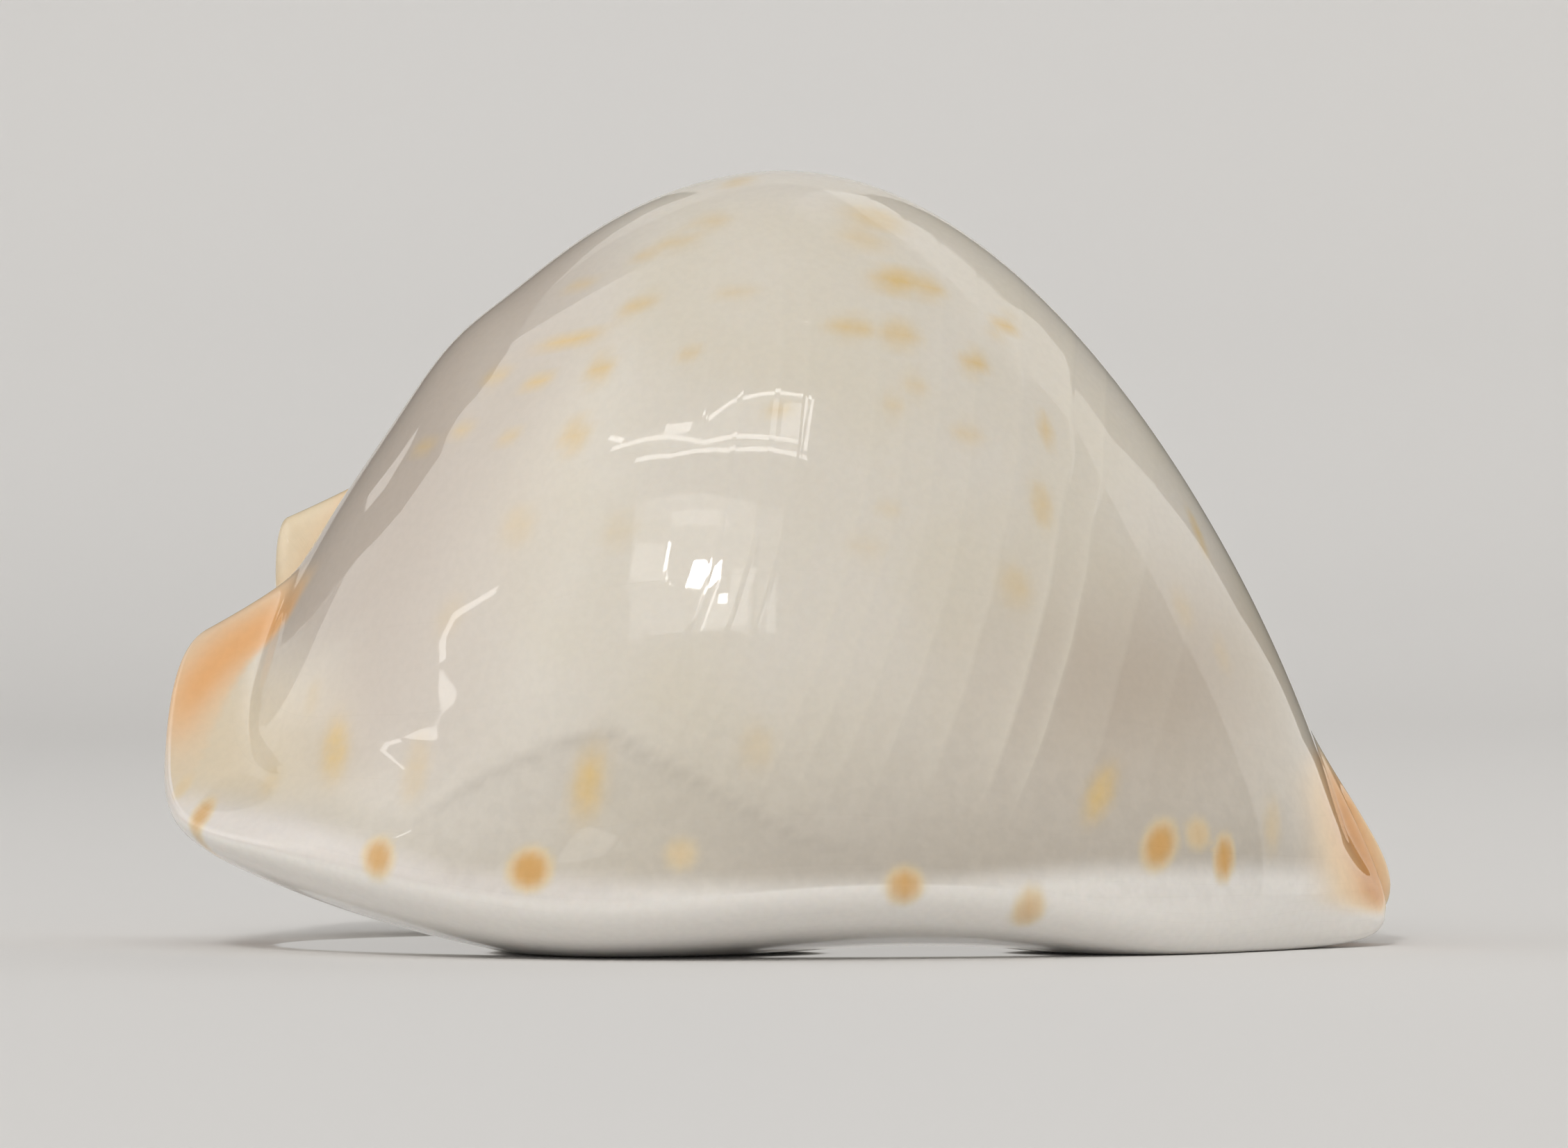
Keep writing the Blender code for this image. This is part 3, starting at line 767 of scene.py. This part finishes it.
# ---------------------------------------------------------------------------- the lights
# Cards of plain light far off round the shell, which its gloss shows, each given by the
# directions of its corners (azimuth from the camera's side, elevation, in degrees) and its
# brightness; a dark card; and the soft light of the room. Of the cards, the doors are dark
# gaps that only the gloss shows, and the lamp is light that the gloss doesn't show.
CARDS = (
    ("ceiling_panel", 3.4, ((-64, 47), (-38, 50), (-11, 51), (18, 49.5), (24, 57), (3, 59),
                            (-14, 58), (-23, 55), (-38, 53), (-64, 49)), 1.2),
    ("panel_top", 2.6, ((-23, 55), (-14, 58), (3, 59), (24, 57), (24.2, 57.6), (3, 59.6),
                        (-14, 58.6), (-24, 55.6)), 6.5),
    ("panel_end", 2.5, ((17, 50), (18.2, 50), (25, 57), (23.6, 57)), 5.5),
    ("panel_rail", 2.6, ((-60, 48), (-22, 51.7), (4, 52.1), (18, 50.7), (18, 51.3), (4, 52.8),
                         (-22, 52.4), (-60, 48.6)), 5.5),
    ("panel_foot", 2.6, ((-48, 48), (-34, 49.6), (-11, 50.6), (18, 48.6), (18, 49.3), (-11, 51.2),
                         (-34, 50.2), (-48, 48.7)), 5.5),
    ("panel_pane", 2.7, ((8, 52.8), (17, 51.8), (22, 56.5), (10, 57.5)), 3.2),
    ("panel_patch", 2.6, ((-40, 52), (-30, 53.2), (-30, 54.6), (-41, 53.4)), 5.0),
    ("panel_left", 2.6, ((-64, 48.8), (-57, 49.4), (-57, 50.2), (-64, 49.4)), 6.5),
    ("window", 3.4, ((-41, 43.5), (-30, 28.5), (0, 28), (0, 43.5)), 1.5),
    ("window_side", 3.4, ((1, 43), (1, 28), (6, 28), (9, 42)), 1.0),
    ("window_left", 2.8, ((-36, 39), (-34, 35), (-24, 35), (-27, 39)), 2.8),
    ("window_top", 2.8, ((-27, 43), (-26, 41), (-7, 41), (-10, 43)), 2.6),
    ("window_right", 2.8, ((-6, 36), (-6, 33), (-1, 33), (1, 36)), 2.8),
    ("window_low", 2.8, ((-11, 33), (-12, 29), (-1, 29), (-1, 33)), 2.8),
    ("window_edge", 2.8, ((4, 34), (4, 28), (6, 28), (6, 34)), 2.2),
    ("window_line", 2.7, ((-9.4, 35), (-12.4, 29), (-11.8, 29), (-8.8, 35)), 7.0),
    ("bulb_left", 2.5, ((-17, 37), (-18, 34.2), (-14, 34), (-11.6, 36), (-14, 37)), 40.0),
    ("bulb_right", 2.5, ((-11, 36.2), (-12, 34.8), (-11.8, 34), (-9, 35), (-9, 37)), 40.0),
    ("lamp", 2.4, ((-17, 38), (-17, 32), (-10, 32), (-10, 38)), 50.0),
    ("bulb_low", 2.5, ((-9, 33.2), (-9, 32), (-6.5, 32), (-6.5, 33.2)), 14.0),
    ("glint", 2.5, ((-25.6, 39.4), (-25.2, 36), (-24.2, 36.2), (-24.6, 39)), 18.0),
    ("glint_low", 2.5, ((-24.4, 36), (-22.6, 34.6), (-21.4, 34.4), (-23.4, 36)), 9.0),
    ("streak_top", 2.5, ((-73, 33.2), (-80.6, 30.4), (-80.0, 28.2), (-77, 26.6), (-76, 27),
                         (-78.8, 28.6), (-79, 30), (-72.6, 32.6)), 6.0),
    ("streak_middle", 2.5, ((-76.3, 26.2), (-74.5, 25.9), (-69.5, 24.6), (-68.8, 23.9),
                            (-70.5, 23.5), (-73.5, 24.4)), 5.5),
    ("rear_right", 0.66, ((95.5, -3), (149, -3), (148.9, 6.4), (143.3, 8.8), (143.2, 10.7),
                          (141.8, 12.3), (134.8, 17.1), (133, 20.9), (127.4, 25.8), (120, 32.5),
                          (122, 36.5), (132.9, 33.8), (136.5, 35.2), (131.7, 41.2), (136, 42.3),
                          (143.2, 43.1), (154, 42), (164.4, 37.6), (168, 45), (150, 52),
                          (130, 49), (111.5, 42.7), (110, 40.3), (108, 37.9), (103.6, 35.5),
                          (99.4, 31.1), (97.1, 26), (96.6, 21.3), (95.4, 16.3)), 1.05),
    ("rear_right_soft", 0.76, ((110, 41), (166, 39), (170, 54), (145, 60), (112, 50)), 0.7),
    ("rear_right_dim", 0.78, ((108, 41), (168, 39), (172, 66), (140, 72), (108, 60)), 0.6),
    ("door_one", 0.79, ((116, -3), (132, -3), (132, 40), (118, 36)), 0.0),
    ("door_two", 0.79, ((131.9, -3), (148, -3), (148, 42), (131.9, 40)), 0.0),
    ("door_three", 0.79, ((147.9, -3), (164, -3), (164, 41), (147.9, 42)), 0.0),
    ("door_four", 0.79, ((163.9, -3), (171, -3), (168, 20), (165, 39), (163.9, 39)), 0.0),
    ("rear_left_gleam", 0.68, ((-132.5, 27.4), (-130, 27.4), (-128.4, 26.2), (-131, 24.4),
                               (-136.8, 22.6), (-134, 25)), 1.3),
)
DARK_CARD = ((-110.2, 35.8), (-111.3, 32.8), (-112.2, 30.6), (-114.5, 28.9), (-117.6, 27),
             (-120.5, 24.6), (-123.7, 21.9), (-129.9, 18.9), (-134.5, 17.2), (-150, 13),
             (-165, 10), (-172, 20), (-168, 34), (-155, 36), (-141.3, 38), (-131, 40.8),
             (-123.8, 41.8), (-117.8, 41.8), (-115.2, 40.8), (-114.5, 38.8), (-113, 36.8))
DARK_CARD_DISTANCE = 0.72
CARD_SKIN, CARD_LIGHT = (0.02, 0.02, 0.02, 1), (1.0, 0.975, 0.94, 1)
ROOM_UP = (0.45, -0.4, 0.8)  # where most of the room's soft light comes from
ROOM_LIGHT, ROOM_SLOPE = 0.315, 0.13  # its mean, and how much more comes from that side
ROOM_TINT = (1.0, 0.985, 0.96, 1)
WALL_LIGHT = 0.5  # how much more comes from the left, where a wall is lit
WALL_START, WALL_FULL = 0.40, 0.97  # how far to the left a direction points where it shows
WALL_FOOT, WALL_TOP = -0.05, 0.35  # and how far up
# The same wall as the gloss shows it: how far off and how bright it is, the first and the last
# column and row of its grid in degrees and how many there are, where its light fades in and out
# going up, and how bright it is round the shell
WALL_DISTANCE, WALL_GLOW = 3.8, 2.3
WALL_AROUND, WALL_UP = (-128, -14, 58), (-2, 72, 38)
WALL_RISE, WALL_SET = (2, 20), (64, 42)
GLOW_AROUND = ((-128, 0.52), (-108, 0.6), (-96, 0.78), (-88, 0.92), (-76, 0.88), (-65, 0.58),
               (-54, 0.45), (-44, 0.2), (-30, 0.05), (-14, 0.0))
# The glow under the shell: half its length and width, and its height
UNDER_HALF, UNDER_HEIGHT = (0.025, 0.014), 0.0002
UNDER_GLOW, UNDER_CORNERS = 0.6, 32
MIDDLE_UP = 0.018  # the height of the shell's middle


def toward(azimuth, elevation, distance):
    """A place in that direction from the shell."""
    a, e = math.radians(azimuth), math.radians(elevation)
    return (distance * math.sin(a) * math.cos(e), -distance * math.cos(a) * math.cos(e),
            distance * math.sin(e) + MIDDLE_UP)


def glowing(name, strength):
    """A dull black skin that gives off light of that strength."""
    made = bpy.data.materials.new(name)
    made.use_nodes = True
    fill(made.node_tree.nodes["Principled BSDF"], {
        "Base Color": CARD_SKIN, "Emission Color": CARD_LIGHT, "Emission Strength": strength})
    return made


def unseen(name, points, faces, skin):
    """A sheet that only the shell sees, and that throws no shadow."""
    mesh = bpy.data.meshes.new(name)
    mesh.from_pydata([tuple(point) for point in points], [], faces)
    mesh.materials.append(skin)
    made = placed(name, mesh)
    made.visible_camera = False
    made.visible_shadow = False
    return made


def card(name, points, brightness):
    """A flat sheet of plain light, or dull black, with its corners at the points."""
    made = unseen(name, points, [tuple(range(len(points)))], glowing(name, brightness))
    return made


for name, distance, corners, brightness in CARDS:
    made = card(name, [toward(*corner, distance) for corner in corners], brightness)
    made.visible_diffuse = not name.startswith("door")
    made.visible_glossy = name != "lamp"
card("dark_card", [toward(*corner, DARK_CARD_DISTANCE) for corner in DARK_CARD], 0.0)

# A glow close under the shell, which lights only its underside
around = np.linspace(0, 2 * math.pi, UNDER_CORNERS + 1)[:-1]
x, y = UNDER_HALF[0] * np.cos(around), UNDER_HALF[1] * np.sin(around)
oval = np.stack([x, y, np.full(UNDER_CORNERS, UNDER_HEIGHT)], axis=-1)
under_glow = card("under_glow", oval, UNDER_GLOW)
under_glow.visible_glossy = False

# The lit wall on the left, which only the gloss shows: its light fades at every edge but the rear
# one
wall_around, wall_up = np.linspace(*WALL_AROUND), np.linspace(*WALL_UP)
points = [toward(a, e, WALL_DISTANCE) for e in wall_up for a in wall_around]
width = len(wall_around)
faces = [(corner, corner + 1, corner + width + 1, corner + width)
         for row in range(len(wall_up) - 1)
         for corner in range(row * width, row * width + width - 1)]
plaster = glowing("lit_wall", 0.0)
lit_wall = unseen("lit_wall", points, faces, plaster)
lit_wall.visible_diffuse = False
glow = np.interp(wall_around, *zip(*GLOW_AROUND)) * fade(wall_up, *WALL_RISE)[:, None]
glow = glow * fade(wall_up, *WALL_SET)[:, None]
lit = lit_wall.data.attributes.new("glow", "FLOAT", "POINT")
lit.data.foreach_set("value", glow.ravel().astype(np.float32))
part = partial(node_in, plaster.node_tree)
glow = part("Attribute", attribute_name="glow").outputs["Fac"]
glow = maths("MULTIPLY_ADD", glow, WALL_GLOW, ROOM_LIGHT, make=part)
fill(plaster.node_tree.nodes["Principled BSDF"], {"Emission Strength": glow})

# The soft light of the room: brighter from above, and from a wall on the left
world = bpy.data.worlds.new("room")
world.use_nodes = True
part = partial(node_in, world.node_tree)
ray = part("TexCoord").outputs["Generated"]
level = part("VectorMath", {0: ray, 1: ROOM_UP}, operation="DOT_PRODUCT").outputs["Value"]
level = maths("MULTIPLY_ADD", level, ROOM_SLOPE, ROOM_LIGHT, make=part)
sides = part("SeparateXYZ", {0: ray}).outputs
wall = eased(sides["X"], -WALL_START, -WALL_FULL, 0.0, WALL_LIGHT, make=part)
shown = maths("MULTIPLY", wall, eased(sides["Z"], WALL_FOOT, WALL_TOP, make=part), make=part)
level = maths("ADD", level, shown, make=part)
fill(world.node_tree.nodes["Background"], {"Color": ROOM_TINT, "Strength": level})
bpy.context.scene.world = world
bpy.context.scene.view_settings.view_transform = "Standard"
